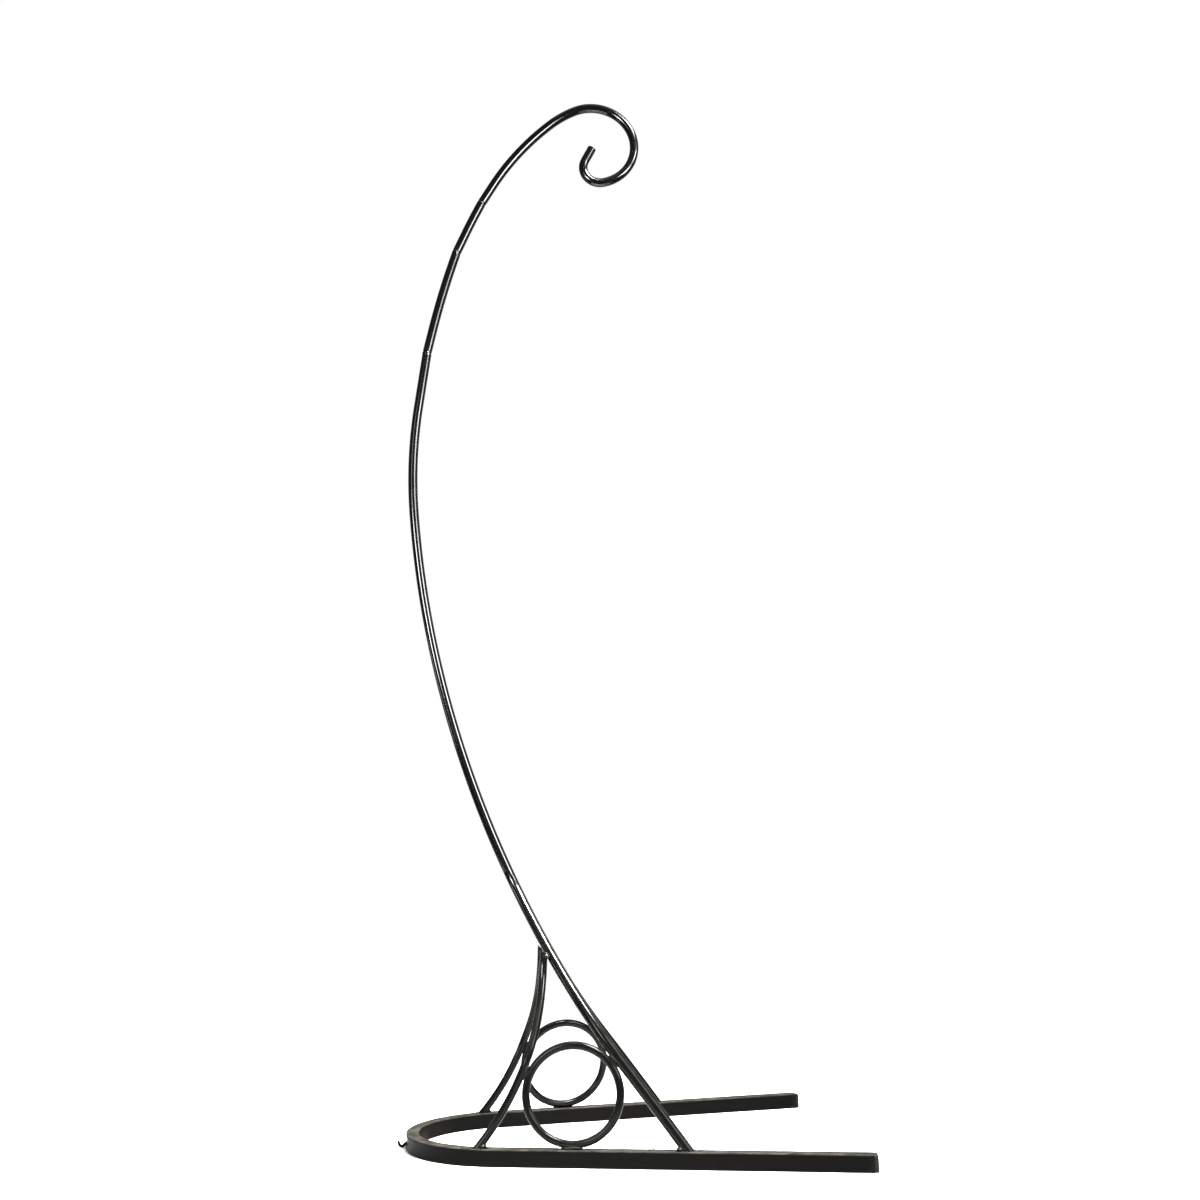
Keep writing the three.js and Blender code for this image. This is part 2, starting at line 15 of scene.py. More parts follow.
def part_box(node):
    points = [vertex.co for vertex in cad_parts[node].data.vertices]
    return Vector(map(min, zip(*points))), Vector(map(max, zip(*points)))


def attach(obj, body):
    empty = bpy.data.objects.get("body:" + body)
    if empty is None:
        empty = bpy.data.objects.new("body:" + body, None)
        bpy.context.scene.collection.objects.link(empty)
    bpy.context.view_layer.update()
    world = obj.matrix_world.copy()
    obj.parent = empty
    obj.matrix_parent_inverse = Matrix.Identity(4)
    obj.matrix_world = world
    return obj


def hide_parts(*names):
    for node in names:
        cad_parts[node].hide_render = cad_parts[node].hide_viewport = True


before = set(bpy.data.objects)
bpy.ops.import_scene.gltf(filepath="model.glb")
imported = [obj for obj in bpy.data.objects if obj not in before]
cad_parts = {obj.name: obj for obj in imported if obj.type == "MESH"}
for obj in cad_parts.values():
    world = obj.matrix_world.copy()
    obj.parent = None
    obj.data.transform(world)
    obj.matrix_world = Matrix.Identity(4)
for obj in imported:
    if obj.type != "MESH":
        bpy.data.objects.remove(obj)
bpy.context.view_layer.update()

bl_info = {
    "name": "Hanging Plant Stand",
    "version": (1, 0, 0),
    "blender": (4, 5, 0),
    "location": "3D View > Sidebar > Plant Stand",
    "description": "Builds the finished pieces, paint and stage of a hanging plant stand",
    "category": "Object",
}

MM = 0.001
UP = Vector((0, 0, 1))
SMOOTH_LIMIT = math.radians(38)
TUBE_SIDES = 40
ROD_SIDES = 28
STRUT_STEPS = 24

# How far in an open tube's bore is built.
BORE_SEEN = 20 * MM

# The mast's pieces from the bottom up. Each has its runs in millimetres, as length and bend radius or None where
# straight, and the angle in degrees from its end to the neck that holds the next.
SOCKET = 32
MAST = {
    "lower": (((527.6, 1485), (162, 746), (86.5, None)), 4.7),
    "middle": (((SOCKET, None), (135, 1377)), 5.4),
    "upper": (((SOCKET, None), (58, 955)), 3.3),
    "hook": (((SOCKET, None), (140, 414), (44, 161), (156, 65), (60, 61), (56, 25), (24, None)), 0),
}

# The struts' bends, in millimetres and degrees, as the frame has them. A left strut ends against the right one.
LEFT_STRUT = {
    "diameter": 10,
    "foot_reach": -116.6,
    "touch_angle": 156.5,
    "tuck": -9.3,
    "inward_slope": -0.154,
    "foot_pull": 54,
    "ring_pull": 40.5,
    "top_pull": 64.5,
    "top_height": 243.6,
    "top_turn": 30,
    "top_lean": 0.02,
}
RIGHT_STRUT = {
    "diameter": 13.5,
    "foot_reach": 139.3,
    "touch_angle": 38.2,
    "tuck": 4.3,
    "inward_slope": -0.05,
    "foot_pull": 75.3,
    "ring_pull": 101.4,
    "top_pull": 60,
}
SIDES = {"front": -1, "back": 1}

# The curled tab, in millimetres and degrees. Its start is measured from its box in the frame.
TAB = {
    "thick": 4,
    "wide": 5,
    "start": (5.1, -3, 3.4),
    "heading": -128,
    "runs": ((7, None), (6.9, 3.6), (4.2, None)),
    "spacing": 0.8,
    "corner": 0.3,
    "narrowed": 0.6,
    "thinned": 0.35,
}

# Half length and half width of each kind of weld bead, in millimetres.
BEADS = {
    "ring_foot": (13.8, 4.2),
    "foot": (0.8, 4.6),
    "ring": (9, 4.2),
    "left_top": (6, 3.6),
    "fork": (9, 4),
}

# The weld spatter round each foot on a leg: how many beads, their radius, and how far they lie along and across.
SPATTER = {
    "per_foot": 12,
    "radius": (0.4 * MM, 1.3 * MM),
    "left": 18 * MM,
    "right": 26 * MM,
    "ring": 22 * MM,
    "across": 7.5 * MM,
}


def length(name, description, millimetres):
    return FloatProperty(name=name, description=description, default=millimetres * MM, unit="LENGTH", precision=4)


def angle(name, description, degrees):
    return FloatProperty(name=name, description=description, default=math.radians(degrees), subtype="ANGLE")


def colour(name, description, value):
    return FloatVectorProperty(name=name, description=description, default=value, subtype="COLOR", min=0, max=1)


class StandSizes(bpy.types.PropertyGroup):
    """Sizes of the stand's pieces."""

    base_side: length("Base tube", "Side of the square base tube", 20)
    base_corner: length("Base corner", "Outer corner radius of the base tube", 2.2)
    base_wall: length("Base wall", "Wall of the base tube", 1.5)
    bend_radius: length("Bend radius", "Radius of the base's bend along its middle line", 135)
    leg_length: length("Leg length", "Straight length of each leg", 455)
    splay: angle("Splay", "Angle of each leg from the middle", 12.2)
    bend_drawn_in: length("Bend drawn in", "How far the bend's outer wall is drawn in", 2.3)
    bend_hollow: length("Bend hollow", "Extra dip of the bend's outer wall at half height", 2)
    bend_wrinkle: length("Bend wrinkle", "Depth of the small folds on the bend's inner wall", 0.35)
    ring_rod: length("Ring rod", "Diameter of the ring's rod", 10)
    ring_half_width: length("Ring half width", "Half the ring's width along the leg, to the rod's middle", 58.4)
    ring_half_height: length("Ring half height", "Half the ring's height, to the rod's middle", 56.6)
    ring_along_leg: length("Ring place", "From the start of the leg to the ring's middle", 99)
    ring_lean: angle("Ring lean", "How far the rings lean inwards", 8.5)
    mast_diameter: length("Mast tube", "Diameter of the mast's tube", 13.5)
    mast_wall: length("Mast wall", "Wall of the mast's tube", 1.2)
    mast_foot_x: length("Mast foot", "From the bend's centre to where the right struts meet", -8.99)
    mast_foot_z: length("Mast foot height", "Height where the right struts meet", 349.98)
    mast_foot_heading: angle("Mast foot lean", "Lean of the mast where the right struts meet", -25.07)
    neck_length: length("Neck length", "Length of the narrowed neck on a mast piece", 30)
    neck_shoulder: length("Neck shoulder", "Length of the rounded step below a neck", 4)
    gap: length("Gap", "Gap between seated pieces", 0.3)


class StandFinish(bpy.types.PropertyGroup):
    """Colours and roughness of the stand's pieces, and the floor's colour."""

    paint: colour("Paint", "Colour of the paint", (0.0022, 0.0022, 0.0019))
    worn: colour("Worn paint", "Colour of rubbed paint on edges", (0.05, 0.047, 0.042))
    # Dust colour, also used as painted light on faces that look up.
    dust_and_top_light: colour("Dust", "Colour of settled dust", (0.16, 0.145, 0.12))
    plastic: colour("Plastic", "Colour of the caps", (0.009, 0.009, 0.0085))
    floor: colour("Floor", "Colour of the floor", (0.72, 0.72, 0.715))
    tube_roughness: FloatProperty(name="Tube roughness", description="Roughness of the round tubes", default=0.11)
    base_roughness: FloatProperty(name="Base roughness", description="Roughness of the base tube", default=0.36)


# ---------------------------------------------------------------- frames and sweeps


def station(point, tangent, normal):
    """A frame whose +Z runs along the piece and whose +X is the given normal."""
    z = tangent.normalized()
    x = (normal - z * normal.dot(z)).normalized()
    y = z.cross(x)
    return Matrix.Translation(point) @ Matrix((x, y, z)).transposed().to_4x4()


def ringed(at, radius, ahead=0.0):
    """A station moved ahead along its piece and scaled to a radius."""
    return at @ Matrix.Translation((0, 0, ahead)) @ Matrix.Diagonal((radius, radius, 1, 1))


def ringed_all(stations, radius):
    return [ringed(at, radius) for at in stations]


def profile_at(at, profile):
    """Rings at one station from a profile of (ahead, radius) pairs."""
    return [ringed(at, radius, ahead) for ahead, radius in profile]


def sweep(bm, loop, rings):
    """Extrudes a loop of edges from ring to ring and returns the last loop."""
    for before, after in zip(rings, rings[1:]):
        made = bmesh.ops.extrude_edge_only(bm, edges=loop)["geom"]
        verts = [item for item in made if isinstance(item, bmesh.types.BMVert)]
        fresh = set(verts)
        edges = [item for item in made if isinstance(item, bmesh.types.BMEdge)]
        loop = [edge for edge in edges if edge.verts[0] in fresh and edge.verts[1] in fresh]
        bmesh.ops.transform(bm, matrix=after @ before.inverted(), verts=verts)
    return loop


def closed_sweep(bm, first, rings):
    """A sweep with a face at each end."""
    last = sweep(bm, first, rings)
    bmesh.ops.edgeloop_fill(bm, edges=first)
    bmesh.ops.edgeloop_fill(bm, edges=last)


def round_sweep(bm, rings, sides):
    """A closed round tube through the rings, in an empty bmesh."""
    bmesh.ops.create_circle(bm, cap_ends=False, radius=1, segments=sides, matrix=rings[0])
    closed_sweep(bm, list(bm.edges), rings)


def square_sweep(bm, rings, corner_share, cuts=7):
    """A closed square tube with rounded corners through the rings, in an empty bmesh."""
    closed_sweep(bm, square_loop(bm, corner_share, rings[0], cuts), rings)


def square_loop(bm, corner_share, matrix, cuts):
    """The outline of a unit square with rounded corners and cut sides."""
    corners = bmesh.ops.create_grid(bm, x_segments=1, y_segments=1, size=0.5)["verts"]
    bmesh.ops.bevel(bm, geom=corners, offset=corner_share, segments=5, affect="VERTICES", profile=0.5, material=-1)
    sides = [edge for edge in bm.edges if edge.calc_length() > 0.5]
    bmesh.ops.subdivide_edges(bm, edges=sides, cuts=cuts)
    bmesh.ops.delete(bm, geom=list(bm.faces), context="FACES_ONLY")
    bmesh.ops.transform(bm, matrix=matrix, verts=list(bm.verts))
    return list(bm.edges)


def leaning(heading):
    """The direction in the XZ plane at an angle from +Z towards +X."""
    return Vector((math.sin(heading), 0, math.cos(heading)))


def heading_station(point, heading):
    return station(point, leaning(heading), Vector((0, 1, 0)))


def planar_path(start, heading, runs, spacing=5.0):
    """Stations along straight and bent runs in the XZ plane."""
    turned = heading
    point = start.copy()
    stations = [heading_station(point, turned)]
    for run, radius in runs:
        steps = max(1, math.ceil(run / spacing))
        turn = run / radius / steps if radius else 0.0
        chord = 2 * radius * math.sin(turn / 2) if radius else run / steps
        for _ in range(steps):
            point = point + leaning(turned + turn / 2) * chord * MM
            turned += turn
            stations.append(heading_station(point, turned))
    return stations, turned


def shortened(runs, cut):
    return runs[:-1] + ((runs[-1][0] - cut, runs[-1][1]),)


def bezier_path(curves, steps):
    """Stations along joined Bezier curves, each a list of control points, without twist.

    The last one faces +Y, so that a path in the XZ plane can follow on from it.
    """
    points = []
    for controls in curves:
        for i in range(1 if points else 0, steps + 1):
            points.append(bezier_point(controls, i / steps))
    tangent = curves[-1][-1] - curves[-1][-2]
    normal = Vector((0, 1, 0))
    stations = []
    for i in reversed(range(len(points))):
        if i < len(points) - 1:
            tangent = points[i + 1] - points[max(i - 1, 0)]
        stations.append(station(points[i], tangent, normal))
        normal = stations[-1].col[0].to_3d()
    return stations[::-1]


def bezier_point(controls, share):
    level = list(controls)
    while len(level) > 1:
        level = [a.lerp(b, share) for a, b in zip(level, level[1:])]
    return level[0]


def crossing(controls, measure, value):
    """Where a rising measure of the points of a Bezier curve passes a value, and the curve's direction there."""
    low, high = 0.0, 1.0
    while high - low > 1e-5:
        middle = (low + high) / 2
        if measure(bezier_point(controls, middle)) < value:
            low = middle
        else:
            high = middle
    step = 0.005
    ahead = bezier_point(controls, low + step) - bezier_point(controls, low - step)
    return bezier_point(controls, low), ahead.normalized()


# ---------------------------------------------------------------- the stand's layout


def sizes():
    return bpy.context.scene.stand_sizes


def finish():
    return bpy.context.scene.stand_finish


def bend_centre():
    """The middle of the base's bend, on the floor."""
    s = sizes()
    reach = s.leg_length * math.cos(s.splay) - s.bend_radius * math.sin(s.splay)
    reach += s.base_side / 2 * math.sin(s.splay)
    return Vector((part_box("base_tube")[1].x - reach, 0, 0))


class Leg:
    """One leg's directions, and the plane that its ring and lower struts stand in."""

    def __init__(self, side):
        s = sizes()
        sine, cosine = math.sin(s.splay), math.cos(s.splay)
        self.side = side
        self.start = bend_centre() + Vector((-sine, side * cosine, 0)) * s.bend_radius
        self.along = Vector((cosine, side * sine, 0))
        self.inward = Vector((sine, -side * cosine, 0))
        self.rise = UP * math.cos(s.ring_lean) + self.inward * math.sin(s.ring_lean)
        self.across = self.inward * math.cos(s.ring_lean) - UP * math.sin(s.ring_lean)
        self.ring_foot = self.start + self.along * s.ring_along_leg
        self.ring_foot.z = s.base_side + s.gap + s.ring_rod / 2
        self.ring_centre = self.ring_foot + self.rise * s.ring_half_height

    def on_ring(self, degrees):
        s = sizes()
        turn = math.radians(degrees)
        across = self.along * s.ring_half_width * math.cos(turn)
        return self.ring_centre + across + self.rise * s.ring_half_height * math.sin(turn)


class StrutPath:
    """A strut's middle line: where it stands, passes its ring and ends, and the handles that bend it."""

    def __init__(self, leg, strut, top, top_direction):
        s = sizes()
        touch = math.radians(strut["touch_angle"])
        tuck = math.radians(strut["tuck"])
        normal = Vector((math.cos(touch) / s.ring_half_width, math.sin(touch) / s.ring_half_height)).normalized()
        reach = s.ring_rod / 2 + strut["diameter"] * MM / 2 + s.gap
        out = leg.along * normal.x + leg.rise * normal.y
        self.radius = strut["diameter"] * MM / 2
        self.ring_side = leg.along * math.copysign(1, -strut["foot_reach"])
        self.ring_rod_point = leg.on_ring(strut["touch_angle"])
        self.ring_point = self.ring_rod_point + out * reach * math.cos(tuck) + leg.across * reach * math.sin(tuck)
        past = leg.along * (-normal.y * math.copysign(1, normal.x)) + leg.rise * abs(normal.x)
        self.ring_direction = (past + leg.across * strut["inward_slope"]).normalized()
        self.foot = leg.ring_foot + leg.along * strut["foot_reach"] * MM
        self.foot.z = s.base_side
        self.top = top
        self.top_direction = top_direction
        foot_handle = self.ring_point - self.ring_direction * strut["foot_pull"] * MM
        ring_handle = self.ring_point + self.ring_direction * strut["ring_pull"] * MM
        top_handle = top - top_direction * strut["top_pull"] * MM
        self.foot_direction = (foot_handle - self.foot).normalized()
        self.standing = [self.foot, foot_handle, self.ring_point]
        self.rising = [self.ring_point, ring_handle, top_handle, top]

    def stations(self):
        buried = self.foot - self.foot_direction * self.radius * 0.8
        return bezier_path([[buried, self.foot], self.standing, self.rising], STRUT_STEPS)


def mast_foot():
    s = sizes()
    return bend_centre() + Vector((s.mast_foot_x, 0, s.mast_foot_z))


def right_path(leg):
    """A right strut runs into the mast along the mast's own direction."""
    return StrutPath(leg, RIGHT_STRUT, mast_foot(), leaning(sizes().mast_foot_heading))


def left_path(leg):
    """A left strut ends against the left side of its leg's right strut."""
    right = right_path(leg)
    tube, along = crossing(right.rising, lambda point: point.z, LEFT_STRUT["top_height"] * MM)
    left = Vector((-1, 0, 0))
    left = (left - along * left.dot(along)).normalized()
    outside = left.cross(along) * leg.side
    turn = math.radians(LEFT_STRUT["top_turn"])
    reach = right.radius + LEFT_STRUT["diameter"] * MM / 2
    top = tube + (left * math.cos(turn) + outside * math.sin(turn)) * reach
    path = StrutPath(leg, LEFT_STRUT, top, Vector((LEFT_STRUT["top_lean"], 0, 1)).normalized())
    path.tube_point = tube
    path.tube_direction = along
    return path


# ---------------------------------------------------------------- pieces


def make_piece(name, bm, body, material, nodes=()):
    """Turns a bmesh into a finished piece that rides on a body and stands for the named nodes."""
    bmesh.ops.remove_doubles(bm, verts=bm.verts, dist=1e-6)
    bmesh.ops.recalc_face_normals(bm, faces=bm.faces)
    for face in bm.faces:
        face.smooth = True
    for edge in bm.edges:
        edge.smooth = edge.calc_face_angle(0.0) < SMOOTH_LIMIT
    mesh = bpy.data.meshes.new(name)
    bm.to_mesh(mesh)
    bm.free()
    mesh.materials.append(material)
    piece = bpy.data.objects.new(name, mesh)
    bpy.context.scene.collection.objects.link(piece)
    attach(piece, body)
    if nodes:
        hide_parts(*nodes)
    return piece


def base_path():
    s = sizes()
    front, back = Leg(-1), Leg(1)
    half_height = UP * s.base_side / 2
    half_turn = math.pi / 2 - s.splay
    leg_steps, bend_steps = 40, 72
    stations = []
    for i in range(leg_steps):
        point = front.start + front.along * s.leg_length * (1 - i / leg_steps)
        stations.append(station(point + half_height, -front.along, UP))
    for i in range(bend_steps + 1):
        turn = math.pi + half_turn - 2 * half_turn * i / bend_steps
        point = bend_centre() + Vector((math.cos(turn), math.sin(turn), 0)) * s.bend_radius
        stations.append(station(point + half_height, Vector((math.sin(turn), -math.cos(turn), 0)), UP))
    for i in range(1, leg_steps + 1):
        point = back.start + back.along * s.leg_length * i / leg_steps
        stations.append(station(point + half_height, back.along, UP))
    return stations


def dish_bend(bm):
    """Draws in the bend's outer wall and folds its inner wall a little, as cold bending does."""
    s = sizes()
    centre = bend_centre()
    half_turn = math.pi / 2 - s.splay
    folds, wander, back_shift = 34, 1.3, 0.6
    fold_reach = 9 * MM
    for vert in bm.verts:
        flat = Vector((vert.co.x - centre.x, vert.co.y))
        turn = math.atan2(abs(flat.y), -flat.x)
        if turn >= half_turn:
            continue
        outside = flat.length - s.bend_radius
        share = math.cos(turn / half_turn * math.pi / 2)
        level = 2 * vert.co.z / s.base_side - 1
        if outside > 0:
            pull = s.bend_drawn_in + s.bend_hollow * (1 - level * level)
            move = -pull * share * outside / (s.base_side / 2)
        else:
            shift = wander * math.sin(3 * turn + (back_shift if flat.y > 0 else 0))
            wave = max(0.0, math.sin(turn * folds + shift))
            move = s.bend_wrinkle * wave * share * (1 - level * level) * min(1, -outside / fold_reach)
        flat = flat * (1 + move / flat.length)
        vert.co.x = centre.x + flat.x
        vert.co.y = flat.y


def build_base_tube():
    s = sizes()
    bore = s.base_side - 2 * s.base_wall
    path = base_path()
    edge = 0.3 * MM
    first, last = path[0], path[-1]
    start = [(BORE_SEEN, bore), (edge, bore), (0, bore + edge), (0, s.base_side - edge), (edge, s.base_side)]
    end = [(-ahead, width) for ahead, width in reversed(start)]
    rings = profile_at(first, start) + ringed_all(path[1:-1], s.base_side) + profile_at(last, end)
    bm = bmesh.new()
    square_sweep(bm, rings, s.base_corner / s.base_side)
    dish_bend(bm)
    return make_piece("base_frame", bm, "stand", base_paint(), ["base_tube"])


def build_end_cap(end, side):
    s = sizes()
    leg = Leg(side)
    bore = s.base_side - 2 * s.base_wall - 2 * s.gap
    head = s.base_side - 2 * s.gap
    plug, lead_in = 14 * MM, 1.5 * MM
    head_thick, dome = 5 * MM, 0.6 * MM
    edge_width, edge_depth, edge_steps = 1.8 * MM, 1.5 * MM, 6
    face = s.gap + head_thick
    point = leg.start + leg.along * s.leg_length + UP * s.base_side / 2
    profile = [(-plug, bore * 0.94), (lead_in - plug, bore), (s.gap, bore)]
    profile += [(s.gap, head - 0.4 * MM), (s.gap + 0.3 * MM, head)]
    for step in range(1, edge_steps + 1):
        turn = math.pi / 2 * step / edge_steps
        ahead = face - dome - edge_depth * (1 - math.sin(turn))
        profile.append((ahead, head - 2 * edge_width * (1 - math.cos(turn))))
    profile += [(face - dome / 3, head * 0.55), (face, head * 0.25)]
    bm = bmesh.new()
    square_sweep(bm, profile_at(station(point, leg.along, UP), profile), s.base_corner / s.base_side)
    return make_piece(f"leg_cap_{end}", bm, "stand", cap_plastic(), [f"end_cap_{end}"])


def build_bend_tab():
    """The curled tab, which leaves the bend's outer wall downwards and tapers to its tip."""
    low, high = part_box("bend_tab")
    thick, wide = TAB["thick"] * MM, TAB["wide"] * MM
    start = Vector((high.x - thick / 2, 0, low.z)) + Vector(TAB["start"]) * MM
    path, _ = planar_path(start, math.radians(TAB["heading"]), TAB["runs"], TAB["spacing"])
    rings = []
    for i, at in enumerate(path):
        share = (i / (len(path) - 1)) ** 2
        taper = (wide * (1 - TAB["narrowed"] * share), thick * (1 - TAB["thinned"] * share), 1, 1)
        rings.append(at @ Matrix.Diagonal(taper))
    bm = bmesh.new()
    square_sweep(bm, rings, TAB["corner"], 2)
    return make_piece("curled_tab", bm, "stand", base_paint(), ["bend_tab"])


def build_ring(end, side):
    s = sizes()
    leg = Leg(side)
    bm = bmesh.new()
    at = Matrix.Translation((s.ring_half_width, 0, 0)) @ Matrix.Rotation(math.pi / 2, 4, "X")
    bmesh.ops.create_circle(bm, cap_ends=False, radius=s.ring_rod / 2, segments=ROD_SIDES, matrix=at)
    circle = list(bm.verts) + list(bm.edges)
    bmesh.ops.spin(bm, geom=circle, cent=(0, 0, 0), axis=(0, 0, 1), angle=2 * math.pi, steps=144, use_merge=True)
    joint_at, joint_width, swell, waviness = math.radians(-62), 0.035, 0.05, 0.006
    for vert in bm.verts:
        turn = math.atan2(vert.co.y, vert.co.x)
        centre = Vector((math.cos(turn), math.sin(turn), 0)) * s.ring_half_width
        joint = math.exp(-(((turn - joint_at) / joint_width) ** 2))
        dent = 1 + swell * joint + waviness * noise.noise(vert.co * 40)
        vert.co = centre + (vert.co - centre) * dent
        vert.co.y *= s.ring_half_height / s.ring_half_width
    turned = Matrix((leg.along, leg.rise, leg.along.cross(leg.rise))).transposed().to_4x4()
    bmesh.ops.transform(bm, matrix=Matrix.Translation(leg.ring_centre) @ turned, verts=bm.verts)
    return make_piece(f"ring_rod_{end}", bm, "stand", tube_paint(), [f"ring_{end}"])


def build_left_strut(end, side):
    """A left strut, with its foot cut flat on the leg and its top cut on a slant, as sawn off."""
    path = left_path(Leg(side))
    stations = path.stations()
    past_cut = stations[-1] @ Matrix.Translation((0, 0, 6 * MM))
    bm = bmesh.new()
    round_sweep(bm, ringed_all([*stations, past_cut], path.radius), ROD_SIDES)
    cut_foot(bm)
    slant = math.radians(42)
    cut_flat(bm, path.top, Vector((math.sin(slant), 0, math.cos(slant))))
    return make_piece(f"left_strut_rod_{end}", bm, "stand", tube_paint(), [f"left_strut_{end}"])


def build_back_right_strut():
    """The back right strut, whose top thins a little where it runs into the mast's tube."""
    path = right_path(Leg(SIDES["back"]))
    stations = path.stations()
    thinning = (0.995, 0.985, 0.97, 0.95)
    rings = ringed_all(stations[: -len(thinning)], path.radius)
    rings += [ringed(at, path.radius * share) for at, share in zip(stations[-len(thinning) :], thinning)]
    bm = bmesh.new()
    round_sweep(bm, rings, TUBE_SIDES)
    cut_foot(bm)
    return make_piece("right_strut_tube_back", bm, "stand", tube_paint(), ["right_strut_back"])


def cut_flat(bm, point, normal):
    """Cuts away what lies beyond a plane and closes the cut."""
    geometry = list(bm.verts) + list(bm.edges) + list(bm.faces)
    cut = bmesh.ops.bisect_plane(bm, geom=geometry, plane_co=point, plane_no=normal, clear_outer=True)
    edges = [item for item in cut["geom_cut"] if isinstance(item, bmesh.types.BMEdge)]
    bmesh.ops.edgeloop_fill(bm, edges=edges)


def cut_foot(bm):
    """Cuts a strut's foot flat, a little inside the leg's top."""
    cut_flat(bm, Vector((0, 0, sizes().base_side - 0.2 * MM)), -UP)


# ---------------------------------------------------------------- mast


# The rounded rim of a neck, in millimetres: ahead of its top, and out from its side.
NECK_RIM = ((-1.2, 0), (-0.2, -0.6), (0, -0.9), (-0.4, -1.2))
NECK_WALL = 1.2
SHOULDER_STEPS = 8
SOCKET_PAST_NECK = 4


def socket_rings(piece):
    """The open lower end of a mast piece, from inside its bore out to its wall."""
    s = sizes()
    wide = s.mast_diameter / 2
    bore = wide - s.mast_wall
    depth = (SOCKET + SOCKET_PAST_NECK) * MM
    edge = 0.35 * MM
    profile = [(depth, bore), (edge, bore), (0, bore + edge), (0, wide - edge), (edge, wide)]
    seat = heading_station(piece["start"], piece["heading"]) @ Matrix.Translation((0, 0, s.gap))
    return profile_at(seat, profile)


def neck_rings(at):
    """A rounded shoulder and the narrowed neck above it, with its open end."""
    s = sizes()
    wide = s.mast_diameter / 2
    neck = wide - s.mast_wall - s.gap
    seat = s.neck_shoulder
    top = s.neck_length
    profile = []
    for step in range(SHOULDER_STEPS + 1):
        turn = math.pi / 2 * step / SHOULDER_STEPS
        profile.append((-seat * (1 - math.sin(turn)) * 0.9, neck + (wide - neck) * math.cos(turn)))
    profile += [(top + ahead * MM, neck + out * MM) for ahead, out in NECK_RIM]
    return profile_at(at, [*profile, (top - BORE_SEEN, neck - NECK_WALL * MM)])


def mast_layout():
    """The start and heading of each mast piece, and of the neck at its end."""
    layout = {}
    start = mast_foot()
    heading = sizes().mast_foot_heading
    for part, (runs, kink) in MAST.items():
        path, turned = planar_path(start, heading, runs)
        layout[part] = {"start": start, "heading": heading, "runs": runs}
        start = path[-1].translation.copy()
        heading = turned + math.radians(kink)
        layout[part].update(end=start, neck_heading=heading)
    return layout


def build_mast_piece(part, body, nodes):
    """A mast piece. The lowest one is one tube with the front right strut."""
    s = sizes()
    piece = mast_layout()[part]
    wide = s.mast_diameter / 2
    path, _ = planar_path(piece["start"], piece["heading"], shortened(piece["runs"], s.neck_shoulder / MM))
    if part == "lower":
        rings = ringed_all(right_path(Leg(SIDES["front"])).stations(), wide)
    else:
        rings = socket_rings(piece)
    rings += ringed_all(path[1:], wide)
    rings += neck_rings(heading_station(piece["end"], piece["neck_heading"]))
    bm = bmesh.new()
    round_sweep(bm, rings, TUBE_SIDES)
    if part == "lower":
        cut_foot(bm)
    return make_piece(f"mast_{part}_tube", bm, body, tube_paint(), nodes)


def open_end(wide):
    """A tube's open end, from its wall round the rim into its bore."""
    bore = wide - sizes().mast_wall
    edge, bore_edge = 0.4 * MM, 0.3 * MM
    return [(-edge, wide), (0, wide - edge), (0, bore + bore_edge), (-edge, bore), (-BORE_SEEN, bore)]


def build_hook():
    piece = mast_layout()["hook"]
    wide = sizes().mast_diameter / 2
    path, _ = planar_path(piece["start"], piece["heading"], piece["runs"], 3.0)
    rings = socket_rings(piece) + ringed_all(path[1:-1], wide) + profile_at(path[-1], open_end(wide))
    bm = bmesh.new()
    round_sweep(bm, rings, TUBE_SIDES)
    return make_piece("hook_tube", bm, "hook_piece", tube_paint(), ["hook_section"])


# ---------------------------------------------------------------- welds


SCALE_PITCH = 2.1 * MM
SCALE_HEIGHT = 0.35 * MM
UNEVENNESS = 0.8


def ripple(bm, centre, axis, seed):
    """Lays the overlapping scales of a weld along an axis, with a little unevenness."""
    for vert in bm.verts:
        from_centre = vert.co - centre
        run = from_centre.dot(axis) / SCALE_PITCH
        out = (from_centre - axis * from_centre.dot(axis)).normalized()
        scale = abs(math.sin(math.pi * run))
        uneven = noise.noise(vert.co * 420 + Vector((seed, 0, 0)))
        vert.co += out * SCALE_HEIGHT * (scale - 0.5 + UNEVENNESS * uneven)


def build_long_bead(name, kind, centre, axis, nodes, seed, longer=0.0):
    """A short run of weld, laid along an axis in the notch between two pieces."""
    half_length, half_width = BEADS[kind][0] * MM + longer, BEADS[kind][1] * MM
    bm = bmesh.new()
    at = station(centre, axis, UP if abs(axis.z) < 0.9 else Vector((1, 0, 0)))
    shape = at @ Matrix.Diagonal((half_width, half_width, half_length, 1))
    bmesh.ops.create_uvsphere(bm, u_segments=32, v_segments=28, radius=1, matrix=shape)
    ripple(bm, centre, axis.normalized(), seed)
    return make_piece(name, bm, "stand", weld_paint(), nodes)


def build_spatter(end, side):
    """Small beads of weld spatter on the top of a leg, near the feet that stand on it."""
    s = sizes()
    leg = Leg(side)
    draw = random.Random(17 + side)
    spots = {"left": left_path(leg).foot, "right": right_path(leg).foot, "ring": leg.ring_foot}
    across = SPATTER["across"]
    bm = bmesh.new()
    for name, spot in spots.items():
        for _ in range(SPATTER["per_foot"]):
            size = draw.uniform(*SPATTER["radius"])
            point = spot + leg.along * draw.gauss(0, SPATTER[name]) + leg.inward * draw.uniform(-across, across)
            point.z = s.base_side + size * 0.2
            matrix = Matrix.Translation(point) @ Matrix.Diagonal((size * draw.uniform(1, 1.6), size, size * 0.7, 1))
            bmesh.ops.create_icosphere(bm, subdivisions=2, radius=1, matrix=matrix)
    return make_piece(f"weld_spatter_{end}", bm, "stand", weld_paint())


